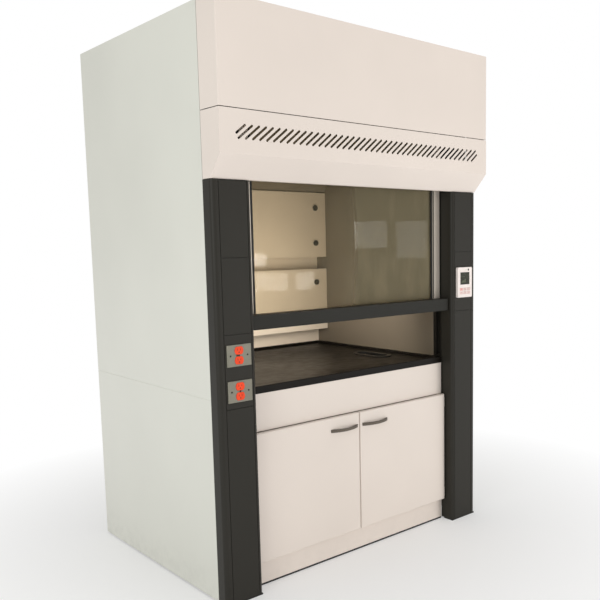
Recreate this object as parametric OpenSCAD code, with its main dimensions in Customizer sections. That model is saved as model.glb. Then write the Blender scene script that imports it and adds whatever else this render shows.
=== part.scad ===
// Bench-height ducted fume hood with a vertical sash, a panelled body and a two-door base cabinet.
// Origin: middle of the footprint on the floor. +X is to the user's right, +Y to the back, +Z up.

/* [Overall] */
// Width over the two side panels
hood_w = 1540; // [1200:10:1800]
// Depth from the head's front to the rear panels
hood_d = 1200; // [1000:10:1300]
// Height to the top edge of the skins
hood_h = 2350; // [2330:5:2380]
// How far the head stands out in front of the posts
head_overhang = 70; // [50:5:90]
// Thickness of the painted sheet skins
skin_t = 1.5; // [1.2:0.1:2]
// Gap between neighbouring skins
seam = 3; // [2:0.5:4]

/* [Posts] */
// Width of each front post
post_w = 176; // [150:2:190]
// Radius of the posts' long front edges
post_r = 18; // [12:1:20]
// Depth of a post's outer return
post_return = 62; // [56:1:66]
// Margin between a post's outer face and its cover plates
plate_margin_out = 32; // [26:1:36]
// Margin between a post's inner face and its cover plates
plate_margin_in = 19; // [18:1:24]

/* [Head] */
// Height of the seam under the access panel
head_seam_z = 1948; // [1930:1:1960]
// Height where the fascia turns inwards
head_fold_z = 1780; // [1760:1:1790]
// Height of the fascia's lower edge
head_bottom_z = 1694; // [1690:1:1700]
// Number of slots in the air bypass
slot_count = 44; // [34:2:50]
// Distance between bypass slots
slot_pitch = 32; // [24:1:34]
// Width of a bypass slot
slot_w = 9; // [6:0.5:12]
// Height of the row of slots
slot_rise = 58; // [40:1:70]

/* [Sash] */
// Height of the handle bar's lower edge as drawn
bar_z = 1102; // [1080:1:1120]
// Height of the handle bar
bar_h = 60; // [50:1:70]
// Width of a sash stile
stile_w = 48; // [40:1:60]
// Height of the sash's upper edge as drawn
sash_top_z = 1938; // [1930:1:1940]
// Thickness of the laminated glass
glass_t = 6; // [5:0.5:6]
// Radius of the cable on its pulley
pulley_r = 30; // [28:1:32]
// Length of each counterweight
weight_l = 640; // [400:5:680]

/* [Work chamber] */
// Height of the worktop's deck
deck_z = 850; // [840:1:855]
// Height of the worktop's raised rim
rim_z = 862; // [858:1:866]
// Thickness of the liner boards
liner_t = 5; // [4:0.5:6]
// Lower edge of the lower baffle
baffle_low_z = 942; // [930:1:950]
// Upper edge of the lower baffle
baffle_gap_z = 1300; // [1280:1:1310]
// Lower edge of the upper baffle
baffle_up_z = 1369; // [1350:1:1390]
// Upper edge of the upper baffle
baffle_top_z = 1741; // [1730:1:1750]
// Radius of the exhaust collar
collar_r = 125; // [100:5:125]

/* [Base cabinet] */
// Height of the plinth
plinth_z = 106; // [90:1:120]
// Height of the doors' upper edges
door_z = 668; // [650:1:680]
// Thickness of a door
door_t = 20; // [20:1:20]
// Length of a door handle
handle_l = 160; // [128:1:180]

/* [Controls] */
// Width of an outlet plate
outlet_w = 112; // [90:1:112]
// Height of an outlet plate
outlet_h = 86; // [80:1:90]
// Width of the controller
panel_w = 110; // [90:1:116]
// Height of the controller
panel_h = 152; // [140:1:156]

/* [Hidden] */
$fn = 64;
half_w = hood_w / 2;
front_y = -hood_d / 2 + head_overhang;   // front plane of the posts
back_y = hood_d / 2;                     // outer plane of the rear panels
open_x = half_w - post_w;                // half the clear width between the posts
body_top = hood_h;
panel_seam_z = 838;                      // joint between lower and upper side panels
foot_h = 6;                              // skins and posts stand this far off the floor
foot_top = 20;                           // underside of the frame
post_top_z = head_bottom_z - 2;
plate_x0 = open_x + plate_margin_in;
plate_x1 = half_w - plate_margin_out;
plate_t = 4;
groove = 2;
web_y = front_y + 4;                     // recessed web behind the cover plates
plate_seams = [1395, 1097, 802];         // heights where the cover plates meet

// planes measured back from the posts' front
apron_y = front_y + 72;
door_y = front_y + 48;
jamb_y = front_y + 128;                  // front edge of the liners
liner_back_y = back_y - 55;
baffle_y = back_y - 145;
ceiling_z = 2150;
liner_x = open_x - 4;                    // inner face of the side liners
cab_x = open_x - 6;                      // outer face of the cabinet

// frame tube
tube = 40;
tube_wall = 2.5;
upright_x = half_w - 43;                 // outer face of the uprights
upright_front_y = front_y + post_return + 2;
upright_rear_y = back_y - 4 - tube;
rail_top_z = 2338;

// sash
sash_x = open_x - 6;                     // outer edge of the stiles
sash_y0 = front_y + 80;
sash_y1 = front_y + 104;
sash_mid_y = (sash_y0 + sash_y1) / 2;
bar_y = front_y + 23;
track_x0 = open_x - 2;
track_x1 = open_x + 14;
cable_x = open_x + 6;
cable_r = 1.5;
pulley_x = cable_x + pulley_r;
pulley_z = 2250;
weight_top_z = 1900;
shoe_h = 60;

// fasteners of the rear panels
screw_proud = 2.4;
screw_head_r = 4.6;
screw_r = 2;

// exhaust and lamp
collar_y = back_y - 200;
collar_top = hood_h + 60;
lamp_y = front_y + 400;

// cup sink
sink_x = open_x - 149;
sink_y = front_y + 440;
sink_w = 130;
sink_l = 260;

// door pivots, measured from the cabinet's outer face and the door's front
pin_x = cab_x - 9;
pin_y = door_y + 10;
pin_r = 4;
pin_clear = 0.05;
hinge_zs = [150, 626];
notch_h = 12;

// controller
panel_x = (plate_x0 + plate_x1) / 2;
panel_z = 1241;
panel_t = 14;
key_w = 22;
key_h = 13;
key_gap = 0.3;

outlet_zs = [1014, 871];
outlet_x = -(plate_x0 + plate_x1) / 2;
screw_dx = 39;

// ---- helpers -------------------------------------------------------------------------------

// Box between two corners
module slab(lo, hi) {
    translate(lo) cube(hi - lo);
}

// The same shape on both sides of the middle plane
module both_sides() {
    children();
    mirror([1, 0, 0]) children();
}

// A square of size [w, d] from the origin whose two corners on the low-Y side are rounded
module front_rounded(size, r) {
    w = size[0];
    d = size[1];
    translate([0, r]) square([w, d - r]);
    translate([r, 0]) square([w - 2 * r, d]);
    translate([r, r]) circle(r);
    translate([w - r, r]) circle(r);
}

// Hollow square tube along Z
module upright(x, y, z0, z1) {
    translate([x, y, z0]) linear_extrude(z1 - z0) difference() {
        square(tube);
        translate([tube_wall, tube_wall]) square(tube - 2 * tube_wall);
    }
}

// Hollow square tube along X
module cross_rail(x0, x1, y, z) {
    translate([x0, y, z]) rotate([90, 0, 90]) linear_extrude(x1 - x0) difference() {
        square(tube);
        translate([tube_wall, tube_wall]) square(tube - 2 * tube_wall);
    }
}

// Hollow square tube along Y
module side_rail(x, y0, y1, z) {
    translate([x, y1, z]) rotate([90, 0, 0]) linear_extrude(y1 - y0) difference() {
        square(tube);
        translate([tube_wall, tube_wall]) square(tube - 2 * tube_wall);
    }
}

// Round bar along Y, from y0 to y1
module rod_y(x, y0, y1, z, r) {
    translate([x, y1, z]) rotate([90, 0, 0]) cylinder(h = y1 - y0, r = r);
}

// ---- outer skins ---------------------------------------------------------------------------

flange = 18;

// Folded side panel on the right: a skin with a flange at its front and its back
module side_panel(z0, z1) {
    y0 = front_y + post_return;
    slab([half_w - skin_t, y0, z0], [half_w, back_y, z1]);
    slab([half_w - flange, y0, z0], [half_w, y0 + skin_t, z1]);
    slab([half_w - flange, back_y - skin_t, z0], [half_w, back_y, z1]);
}

// Lower and upper panel of one side
module side_panel_pair() {
    side_panel(foot_h, panel_seam_z - seam / 2);
    side_panel(panel_seam_z + seam / 2, body_top);
}

module side_panels_right() { color("#e9e7e1") side_panel_pair(); }
module side_panels_left() { color("#e9e7e1") mirror([1, 0, 0]) side_panel_pair(); }

rear_x = half_w - flange - seam;

rear_y = back_y - screw_proud;           // outer plane of the rear panels
rear_spans = [[foot_h, panel_seam_z - seam / 2], [panel_seam_z + seam / 2, body_top]];

// Screws of the rear panels: rows on the three rear rails, and more down both uprights
rail_rows = [foot_top + tube / 2, panel_seam_z - 10, panel_seam_z + 10, rail_top_z - tube / 2];
upright_rows = [434, 1340, 1830];
module rear_screws(r, y0, y1) {
    for (z = rail_rows) rod_y(0, y0, y1, z, r);
    both_sides()
        for (z = concat(rail_rows, upright_rows)) rod_y(upright_x - tube / 2, y0, y1, z, r);
}

module rear_panels() {
    color("#dcdad4") difference() {
        for (span = rear_spans)
            slab([-rear_x, rear_y - skin_t, span[0]], [rear_x, rear_y, span[1]]);
        rear_screws(screw_r + 0.1, rear_y - 5, back_y);
    }
}

module panel_screws() {
    color("#c4c5c2") {
        rear_screws(screw_head_r, rear_y, back_y);
        rear_screws(screw_r, rear_y - 10, rear_y);
    }
}

// Roof sheet, let in below the upper edges of the skins
module top_panel() {
    x = half_w - skin_t - 1;
    z = body_top - 12;
    color("#dcdad4") difference() {
        slab([-x, front_y - head_overhang + skin_t + 1, z], [x, rear_y - skin_t - 1, z + skin_t]);
        translate([0, collar_y, z - 1]) cylinder(h = 4, r = collar_r + 0.5);
        for (a = bolt_angles)
            translate([0, collar_y, z - 1]) rotate(a) translate([bolt_ring_r, 0]) cylinder(h = 4, r = bolt_r + 0.1);
        both_sides()
            slab([half_w - flange - 1, front_y + post_return - 1, z - 1],
                [half_w, front_y + post_return + skin_t + 1, z + 5]);
    }
}

roof_z = body_top - 12 + skin_t;         // upper face of the roof sheet
bolt_angles = [0:45:315];
bolt_ring_r = collar_r + 20;
bolt_r = 3;
collar_flange_t = 3;

// Duct collar from the ceiling up through the roof, with a bolting flange on the roof sheet
module exhaust_collar() {
    color("#c9cbc8") translate([0, collar_y, 0]) difference() {
        union() {
            translate([0, 0, ceiling_z]) cylinder(h = collar_top - ceiling_z, r = collar_r, $fn = 96);
            translate([0, 0, roof_z]) cylinder(h = collar_flange_t, r = collar_r + 35, $fn = 96);
        }
        translate([0, 0, ceiling_z - 1]) cylinder(h = collar_top - ceiling_z + 2, r = collar_r - 2, $fn = 96);
        for (a = bolt_angles)
            rotate(a) translate([bolt_ring_r, 0, roof_z - 1]) cylinder(h = collar_flange_t + 2, r = bolt_r + 0.1);
    }
}

// Hexagon bolts with washers round the collar's flange
module collar_bolts() {
    z = roof_z + collar_flange_t;
    color("#b9bbbb") translate([0, collar_y, 0]) for (a = bolt_angles)
        rotate(a) translate([bolt_ring_r, 0, z]) {
            cylinder(h = 1.2, r = 7);
            translate([0, 0, 1.2]) cylinder(h = 4, r = 5.8, $fn = 6);
            translate([0, 0, -12]) cylinder(h = 12, r = bolt_r);
        }
}

// ---- head ----------------------------------------------------------------------------------

head_y = front_y - head_overhang;
head_side_y = front_y + post_return - seam;
head_corner_r = 4;

// Outline of the head's folded cover, seen from above
module head_plan(inset) {
    translate([-half_w + inset, head_y + inset])
        front_rounded([hood_w - 2 * inset, head_side_y - head_y + inset], head_corner_r - inset);
}

module head_access_panel() {
    color("#efe4dc") difference() {
        translate([0, 0, head_seam_z + seam / 2]) linear_extrude(body_top - head_seam_z - seam / 2)
            head_plan(0);
        translate([0, 0, head_seam_z]) linear_extrude(body_top - head_seam_z - skin_t)
            head_plan(skin_t);
        slab([-half_w + 25, head_y + 25, body_top - 10], [half_w - 25, head_side_y + 5, body_top + 5]);
    }
}

// Side outline of the fascia, as [y, z] points
lip_y = front_y + 6;
function fascia_points(inset) = [
    [head_y + inset, head_seam_z - seam / 2 + inset],
    [head_y + inset, head_fold_z + inset * 0.4],
    [lip_y + inset, head_bottom_z + inset],
    [head_side_y + inset, head_bottom_z + inset],
    [head_side_y + inset, head_seam_z - seam / 2 + inset]
];

module fascia_prism(half, inset) {
    translate([-half, 0, 0]) rotate([90, 0, 90]) linear_extrude(2 * half)
        polygon(fascia_points(inset));
}

// One leaning slot; it is cut short where it would run out of the row
slot_slope = 1.25;
slot_row_z = 1864;
slot_half = slot_pitch * slot_count / 2 - 4;
module bypass_slot(mid) {
    reach = slot_rise / 2 - slot_w / 2;
    low = max(-reach, (-slot_half + slot_w / 2 - mid) / slot_slope);
    high = min(reach, (slot_half - slot_w / 2 - mid) / slot_slope);
    lean = atan2(1, slot_slope);
    length = (high - low) * sqrt(1 + slot_slope * slot_slope);
    translate([mid + low * slot_slope, head_y + 5, slot_row_z + low]) rotate([90, 0, 0])
        linear_extrude(10) rotate(lean) {
            translate([0, -slot_w / 2]) square([length, slot_w]);
            circle(slot_w / 2);
            translate([length, 0]) circle(slot_w / 2);
        }
}

module bypass_fascia() {
    color("#efe4dc") difference() {
        fascia_prism(half_w, 0);
        fascia_prism(half_w - skin_t, skin_t);
        slab([-half_w + 25, lip_y + 25, head_bottom_z - 5], [half_w - 25, head_side_y + 5, head_bottom_z + 5]);
        for (i = [0:slot_count - 1])
            bypass_slot((i - (slot_count - 1) / 2) * slot_pitch);
    }
}

// ---- frame ---------------------------------------------------------------------------------

module frame_uprights() {
    color("#8c8f90") difference() {
        both_sides() {
            upright(upright_x - tube, upright_front_y, foot_top, rail_top_z - tube);
            upright(upright_x - tube, upright_rear_y, foot_top, rail_top_z - tube);
        }
        rear_screws(screw_r + 0.1, rear_y - 12, back_y);
    }
}

module frame_rail_set() {
    top_z = rail_top_z - tube;
    mid_z = panel_seam_z - tube / 2;
    cross_rail(-upright_x, upright_x, upright_front_y, top_z);
    cross_rail(-upright_x, upright_x, upright_rear_y, top_z);
    for (z = [mid_z, foot_top]) cross_rail(-upright_x + tube, upright_x - tube, upright_rear_y, z);
    both_sides() {
        for (z = [top_z, mid_z, foot_top])
            side_rail(upright_x - tube, upright_front_y + tube, upright_rear_y, z);
    }
}

module frame_rails() {
    color("#8c8f90") difference() {
        frame_rail_set();
        rear_screws(screw_r + 0.1, rear_y - 12, back_y);
    }
}

// ---- posts ---------------------------------------------------------------------------------

post_t = 2;

// Plan of the right post: rounded front edges, a recessed web and two returns
module post_plan() {
    difference() {
        translate([open_x, front_y]) front_rounded([post_w, 76], post_r);
        translate([open_x + post_t, front_y + post_t])
            front_rounded([post_w - 2 * post_t, 80], post_r - post_t);
        translate([plate_x0 - groove, front_y - 1]) square([plate_x1 - plate_x0 + 2 * groove, 5]);
        translate([half_w - post_w / 2, front_y + post_return]) square([post_w / 2 + 1, 20]);
    }
    difference() {
        translate([plate_x0 - groove - post_t, front_y + 1])
            square([plate_x1 - plate_x0 + 2 * (groove + post_t), 5]);
        translate([plate_x0 - groove, front_y]) square([plate_x1 - plate_x0 + 2 * groove, web_y - front_y]);
    }
}

module post_body() {
    translate([0, 0, foot_h]) linear_extrude(post_top_z - foot_h) post_plan();
}

module post_left() {
    color("#3f3e3a") difference() {
        mirror([1, 0, 0]) post_body();
        for (z = outlet_zs)
            slab([outlet_x - 31, front_y, z - 38], [outlet_x + 31, front_y + 10, z + 38]);
    }
}

module post_right() {
    color("#3f3e3a") difference() {
        post_body();
        rod_y(panel_x, front_y, front_y + 10, panel_z, 12);
    }
}

// Plain inset cover plate on the right post
module cover_plate(z0, z1) {
    slab([plate_x0, front_y, z0 + groove / 2], [plate_x1, front_y + plate_t, z1 - groove / 2]);
}

module post_cover_plates() {
    color("#454440") {
        mirror([1, 0, 0]) cover_plate(plate_seams[0], post_top_z - 2);
        mirror([1, 0, 0]) cover_plate(plate_seams[1], plate_seams[0]);
        mirror([1, 0, 0]) cover_plate(foot_h, plate_seams[2]);
        cover_plate(plate_seams[0], post_top_z - 2);
        cover_plate(foot_h, plate_seams[1]);
        difference() {
            cover_plate(plate_seams[1], plate_seams[0]);
            rod_y(panel_x, front_y - 1, front_y + 5, panel_z, 12);
        }
    }
}

module outlet_cover_plate() {
    color("#454440") difference() {
        mirror([1, 0, 0]) cover_plate(plate_seams[2], plate_seams[1]);
        for (z = outlet_zs) {
            slab([outlet_x - 26, front_y - 1, z - 38], [outlet_x + 26, front_y + 5, z + 38]);
            for (s = [-1, 1])
                rod_y(outlet_x + s * screw_dx, front_y - 1, front_y + 5, z, 2);
        }
    }
}

// ---- outlets -------------------------------------------------------------------------------

face_w = 40;
face_h = 31;
face_pitch = 39;
plate_proud = 4;

// Face of one socket: a circle cut flat above and below
module socket_face(grow) {
    intersection() {
        circle(face_w / 2 + grow);
        square([face_w + 2 * grow, face_h + 2 * grow], center = true);
    }
}

module outlet_plate(z) {
    difference() {
        translate([outlet_x, front_y, z]) rotate([90, 0, 0]) difference() {
            linear_extrude(plate_proud) square([outlet_w, outlet_h], center = true);
            for (s = [-1, 1]) {
                translate([0, s * face_pitch / 2, -1]) linear_extrude(plate_proud + 2) socket_face(0.4);
                translate([s * screw_dx, 0, -1]) cylinder(h = plate_proud + 2, r = 2);
            }
            translate([0, 0, -1]) cylinder(h = plate_proud + 2, r = 2);
            translate([-outlet_w / 2 + 3, -outlet_h / 2 + 3, -1])
                linear_extrude(3) difference() {
                    square([outlet_w - 6, outlet_h - 6]);
                    translate([4, 4]) square([outlet_w - 14, outlet_h - 14]);
                }
        }
    }
}

module outlet_plates() {
    color("#b3b2aa") for (z = outlet_zs) outlet_plate(z);
}

// Receptacle: two faces on a strap, with blade slots and earth holes
module receptacle(z) {
    translate([outlet_x, front_y, z]) rotate([90, 0, 0]) difference() {
        union() {
            for (s = [-1, 1])
                translate([0, s * face_pitch / 2, -20]) linear_extrude(20 + plate_proud + 1) socket_face(0);
            translate([-15, -34, -20]) cube([30, 68, 16]);
            translate([-7, -36.5, -12]) cube([14, 73, 2]);
        }
        for (s = [-1, 1]) translate([0, s * face_pitch / 2, plate_proud - 5]) {
            translate([-7.5, 0, 0]) cube([2, 8, 10]);
            translate([5.5, 0, 0]) cube([2, 7, 10]);
            translate([0, -7, 0]) cylinder(h = 10, r = 2.6);
        }
        translate([0, 0, -15]) cylinder(h = 30, r = 1.8);
    }
}

module outlet_receptacles() {
    color("#f0542e") for (z = outlet_zs) receptacle(z);
}

// Open-fronted steel box behind each receptacle
module outlet_boxes() {
    color("#9c9f9f") for (z = outlet_zs) difference() {
        slab([outlet_x - 48, front_y + 6, z - 39], [outlet_x + 48, front_y + 52, z + 39]);
        slab([outlet_x - 46, front_y + 5, z - 37], [outlet_x + 46, front_y + 50, z + 37]);
    }
}

module plate_screw(x, z) {
    rod_y(x, front_y - plate_proud - 1.6, front_y - plate_proud, z, 3.6);
    rod_y(x, front_y - plate_proud, front_y + 2, z, 1.7);
}

module outlet_screws() {
    color("#d5d5d0") for (z = outlet_zs) {
        for (s = [-1, 0, 1]) plate_screw(outlet_x + s * screw_dx, z);
    }
}

// ---- controller ----------------------------------------------------------------------------

screen_w = 70;
screen_h = 62;
screen_z = 20;                           // middle of the screen above the controller's middle
key_cols = 3;
key_pitch_x = 28;
key_pitch_z = 18;
key_z = -44;                             // middle of the keys below the controller's middle
key_proud = 1.2;
key_depth = 4;

function key_place(col, row) = [
    panel_x + (col - 1) * key_pitch_x,
    front_y - panel_t,
    panel_z + key_z + (0.5 - row) * key_pitch_z
];

module controller_housing() {
    r = 6;
    color("#efe6e1") difference() {
        translate([panel_x - panel_w / 2, front_y, panel_z - panel_h / 2]) rotate([90, 0, 0])
            linear_extrude(panel_t) {
                translate([r, 0]) square([panel_w - 2 * r, panel_h]);
                translate([0, r]) square([panel_w, panel_h - 2 * r]);
                for (x = [r, panel_w - r], z = [r, panel_h - r])
                    translate([x, z]) circle(r);
            }
        translate([panel_x - screen_w / 2, front_y - panel_t - 1, panel_z + screen_z - screen_h / 2])
            cube([screen_w, 3.5, screen_h]);
        for (col = [0:key_cols - 1], row = [0, 1])
            translate(key_place(col, row) + [-key_w / 2 - key_gap, -1, -key_h / 2 - key_gap])
                cube([key_w + 2 * key_gap, 1 + key_depth + 1, key_h + 2 * key_gap]);
    }
}

module controller_screen() {
    color("#3c3e33") translate([panel_x - screen_w / 2 + 0.3, front_y - panel_t + 0.5,
        panel_z + screen_z - screen_h / 2 + 0.3]) cube([screen_w - 0.6, 2, screen_h - 0.6]);
}

module key_cap(col, row) {
    translate(key_place(col, row) + [-key_w / 2, -key_proud, -key_h / 2])
        cube([key_w, key_proud + key_depth, key_h]);
}

module key_power() { color("#d8605a") key_cap(0, 0); }
module key_fan() { color("#d9cdc8") key_cap(1, 0); }
module key_lamp() { color("#d9cdc8") key_cap(2, 0); }
module key_up() { color("#d9cdc8") key_cap(0, 1); }
module key_down() { color("#d9cdc8") key_cap(1, 1); }
module key_set() { color("#d9cdc8") key_cap(2, 1); }

// ---- work chamber --------------------------------------------------------------------------

module liner_side() {
    slab([liner_x, jamb_y, deck_z - 20], [liner_x + liner_t, liner_back_y + liner_t, ceiling_z]);
}

module liner_sides() { color("#cdc5b4") both_sides() liner_side(); }

module liner_back() {
    color("#ddd2be") slab([-liner_x + 0.5, liner_back_y, deck_z - 20],
        [liner_x - 0.5, liner_back_y + liner_t, ceiling_z]);
}

lamp_w = 640;
lamp_d = 140;

module ceiling() {
    color("#ddd2be") difference() {
        slab([-liner_x - liner_t, jamb_y, ceiling_z], [liner_x + liner_t, liner_back_y + liner_t, ceiling_z + liner_t]);
        translate([0, collar_y, ceiling_z - 1]) cylinder(h = liner_t + 2, r = collar_r + 0.5, $fn = 96);
        slab([-lamp_w / 2, lamp_y - lamp_d / 2, ceiling_z - 1], [lamp_w / 2, lamp_y + lamp_d / 2, ceiling_z + 10]);
    }
}

module lamp_housing() {
    z = ceiling_z + liner_t;
    color("#d8d8d4") difference() {
        slab([-lamp_w / 2 - 15, lamp_y - lamp_d / 2 - 15, z], [lamp_w / 2 + 15, lamp_y + lamp_d / 2 + 15, z + 90]);
        slab([-lamp_w / 2 - 13, lamp_y - lamp_d / 2 - 13, z - 1], [lamp_w / 2 + 13, lamp_y + lamp_d / 2 + 13, z + 88]);
    }
}

module lamp_tube() {
    color("#ffffff") {
        translate([-290, lamp_y, ceiling_z + 55]) rotate([0, 90, 0]) cylinder(h = 580, r = 8);
        for (s = [-1, 1])
            slab([s * 297.5 - 7.5, lamp_y - 10, ceiling_z + 40], [s * 297.5 + 7.5, lamp_y + 10, ceiling_z + liner_t + 88]);
    }
}

module lamp_lens() {
    color("#f4f4f0") slab([-lamp_w / 2 + 0.5, lamp_y - lamp_d / 2 + 0.5, ceiling_z + 0.5],
        [lamp_w / 2 - 0.5, lamp_y + lamp_d / 2 - 0.5, ceiling_z + liner_t - 0.5]);
}

// Fixing points of the baffles
knob_x = liner_x - 85;
baffle_bolts_low = [1020, 1223];
baffle_bolts_up = [1451, 1653];
stud_r = 4;

module baffle_holes(zs) {
    for (x = [-knob_x, knob_x], z = zs) rod_y(x, baffle_y - 1, baffle_y + liner_t + 1, z, stud_r + 0.5);
}

module baffle_lower() {
    color("#e2d6c0") difference() {
        slab([-liner_x + 2, baffle_y, baffle_low_z], [liner_x - 2, baffle_y + liner_t, baffle_gap_z]);
        baffle_holes(baffle_bolts_low);
    }
}

module baffle_upper() {
    color("#e2d6c0") difference() {
        slab([-liner_x + 2, baffle_y, baffle_up_z], [liner_x - 2, baffle_y + liner_t, baffle_top_z]);
        baffle_holes(baffle_bolts_up);
    }
}

// Leaning top baffle between the upper baffle and the ceiling
top_lean = 22;
top_len = 385;
module baffle_top() {
    color("#d6cbb6") translate([-liner_x + 2, baffle_y, baffle_top_z + 5]) rotate([top_lean, 0, 0])
        cube([2 * liner_x - 4, liner_t, top_len]);
}

// Stud, spacer and back plate behind each knob
module baffle_standoffs() {
    color("#b8b8b4") for (x = [-knob_x, knob_x], z = concat(baffle_bolts_low, baffle_bolts_up)) {
        rod_y(x, baffle_y - 12, liner_back_y, z, stud_r);
        rod_y(x, baffle_y + liner_t, liner_back_y, z, 10);
    }
}

module baffle_knobs() {
    color("#201f1d") for (x = [-knob_x, knob_x], z = concat(baffle_bolts_low, baffle_bolts_up)) difference() {
        union() {
            rod_y(x, baffle_y - 16, baffle_y - 4, z, 17);
            rod_y(x, baffle_y - 4, baffle_y, z, 10);
        }
        rod_y(x, baffle_y - 12.5, baffle_y + 1, z, stud_r + 0.1);
    }
}

// ---- worktop and sink ----------------------------------------------------------------------

// Rounded slot shape along Y, used by the cup sink and its cut-out
module sink_plan(grow) {
    r = sink_w / 2 - 25 + grow;
    square([2 * r, sink_l - 50 - 2 * (sink_w / 2 - 25)], center = true);
    for (s = [-1, 1])
        translate([0, s * (sink_l / 2 - sink_w / 2)]) circle(r);
}

module worktop() {
    x = cab_x;
    y1 = liner_back_y - 2;
    rim = 22;
    color("#2c2a28") difference() {
        slab([-x, apron_y - 2, deck_z - 20], [x, y1, rim_z]);
        slab([-x + rim, apron_y - 2 + rim, deck_z], [x - rim, y1 - rim, rim_z + 1]);
        translate([sink_x, sink_y, deck_z - 30]) linear_extrude(60) sink_plan(0.5);
    }
}

module cup_sink() {
    color("#232425") translate([sink_x, sink_y, 0]) difference() {
        union() {
            translate([0, 0, deck_z]) linear_extrude(5) sink_plan(18);
            translate([0, 0, deck_z - 150]) linear_extrude(150) sink_plan(0);
            translate([0, 0, deck_z - 260]) cylinder(h = 110, r = 20);
        }
        translate([0, 0, deck_z - 146]) linear_extrude(160) sink_plan(-4);
        translate([0, 0, deck_z - 261]) cylinder(h = 120, r = 16);
    }
}

// ---- sash ----------------------------------------------------------------------------------

glass_y0 = sash_mid_y - glass_t / 2;
glass_y1 = sash_mid_y + glass_t / 2;
glass_edge = 8;                          // how far the glass reaches into its frame

module sash_glass() {
    x = sash_x - stile_w + glass_edge;
    color("#a8a58c", 0.4) slab([-x, glass_y0, bar_z + 14], [x, glass_y1, sash_top_z - 8]);
}

// Box-section handle bar with the channel for the glass behind it
module sash_bar() {
    wall = 2.5;
    color("#3c3b38") difference() {
        union() {
            slab([-sash_x, bar_y, bar_z], [sash_x, sash_y0, bar_z + bar_h]);
            slab([-sash_x + stile_w + 0.5, sash_y0 - 1, bar_z], [sash_x - stile_w - 0.5, sash_y1, bar_z + 26]);
        }
        slab([-sash_x - 1, bar_y + wall, bar_z + wall], [sash_x + 1, sash_y0 - wall, bar_z + bar_h - wall]);
        slab([-sash_x - 1, glass_y0 - 0.3, bar_z + 13], [sash_x + 1, glass_y1 + 0.3, bar_z + bar_h]);
    }
}

module sash_stile() {
    x0 = sash_x - stile_w;
    difference() {
        slab([x0, sash_y0, bar_z], [sash_x, sash_y1, sash_top_z]);
        slab([x0 + glass_edge + 4, sash_y0 + 2.5, bar_z - 1], [sash_x - 2.5, sash_y1 - 2.5, sash_top_z + 1]);
        slab([x0 - 1, glass_y0 - 0.3, bar_z - 1], [x0 + glass_edge + 0.5, glass_y1 + 0.3, sash_top_z + 1]);
    }
}

// Stiles and the slim head rail over the glass
module sash_stiles() {
    x0 = sash_x - stile_w;
    color("#bdb6ab") both_sides() sash_stile();
    color("#bdb6ab") difference() {
        slab([-x0, sash_y0 + 4, sash_top_z - 16], [x0, sash_y1 - 4, sash_top_z]);
        slab([-x0 - 1, glass_y0 - 0.3, sash_top_z - 17], [x0 + 1, glass_y1 + 0.3, sash_top_z - 7]);
    }
}

module sash_gaskets() {
    x = sash_x - stile_w;
    color("#171615") both_sides() slab([x - 10, glass_y0 - 3, bar_z + 27], [x - 0.3, glass_y0, sash_top_z - 17]);
}

// Nylon runners: the lower ones carry the cables, the upper ones only guide
module sash_shoes() {
    color("#d9d8d2") both_sides() {
        difference() {
            slab([sash_x, sash_y0 + 2, bar_z], [track_x1 - 3, sash_y1 + 3, bar_z + shoe_h]);
            translate([cable_x, sash_mid_y + 2, bar_z + 20]) cylinder(h = shoe_h, r = cable_r + 0.2);
        }
        slab([sash_x, sash_y0 + 4, sash_top_z - shoe_h], [cable_x - 4, sash_y1, sash_top_z]);
    }
}

// Runner channel, jamb strip and rubber stops at both ends of the travel
module sash_track() {
    y0 = front_y + 78;
    y1 = front_y + 112;
    z1 = rail_top_z - tube - 10;
    slab([track_x0, y0, rim_z], [track_x1, y0 + 3, z1]);
    slab([track_x1 - 2, y0, rim_z], [track_x1, y1, pulley_z - pulley_r - 12]);
    slab([track_x0, y1 - 3, rim_z], [track_x1, y1, z1]);
    slab([track_x0, y1 - 1, rim_z], [track_x0 + 2, jamb_y - 0.5, z1]);
    slab([track_x0 + 1, y0 + 2, rim_z], [track_x1 - 1, y1 - 2, rim_z + 8]);
}

module sash_tracks() {
    color("#24231f") both_sides() sash_track();
}

// ---- counterbalance ------------------------------------------------------------------------

shaft_r = 6;
cable_y = sash_mid_y + 2;

// Cheeks, bridge and shaft that carry a pulley under the front top rail
module pulley_bracket() {
    top = rail_top_z - tube;
    for (y = [cable_y - 13, cable_y + 10])
        slab([pulley_x - 14, y, pulley_z - 16], [pulley_x + 14, y + 3, top]);
    slab([pulley_x - 14, cable_y - 13, top - 4], [pulley_x + 14, cable_y + 13, top]);
    rod_y(pulley_x, cable_y - 16, cable_y + 16, pulley_z, shaft_r);
}

module pulley_brackets() {
    color("#a3a5a5") both_sides() pulley_bracket();
}

// Grooved pulley, turned about Y
module pulley() {
    groove_r = pulley_r - cable_r - 0.15;
    translate([pulley_x, cable_y, pulley_z]) rotate([90, 0, 0]) rotate_extrude($fn = 96) polygon([
        [shaft_r + 0.05, -8], [groove_r + 5, -8], [groove_r + 5, -5], [groove_r, -1.6],
        [groove_r, 1.6], [groove_r + 5, 5], [groove_r + 5, 8], [shaft_r + 0.05, 8]
    ]);
}

module pulley_right() { color("#dedcd4") pulley(); }
module pulley_left() { color("#dedcd4") mirror([1, 0, 0]) pulley(); }

// Steel rope from the lower runner, over the pulley, down to the counterweight
module sash_cable() {
    translate([cable_x, cable_y, bar_z + 21]) cylinder(h = pulley_z - bar_z - 21, r = cable_r, $fn = 16);
    translate([cable_x + 2 * pulley_r, cable_y, weight_top_z + 0.1])
        cylinder(h = pulley_z - weight_top_z - 0.1, r = cable_r, $fn = 16);
    translate([pulley_x, cable_y, pulley_z]) rotate([90, 0, 0])
        rotate_extrude(angle = 180, $fn = 96) translate([pulley_r, 0]) circle(cable_r, $fn = 16);
}

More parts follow.
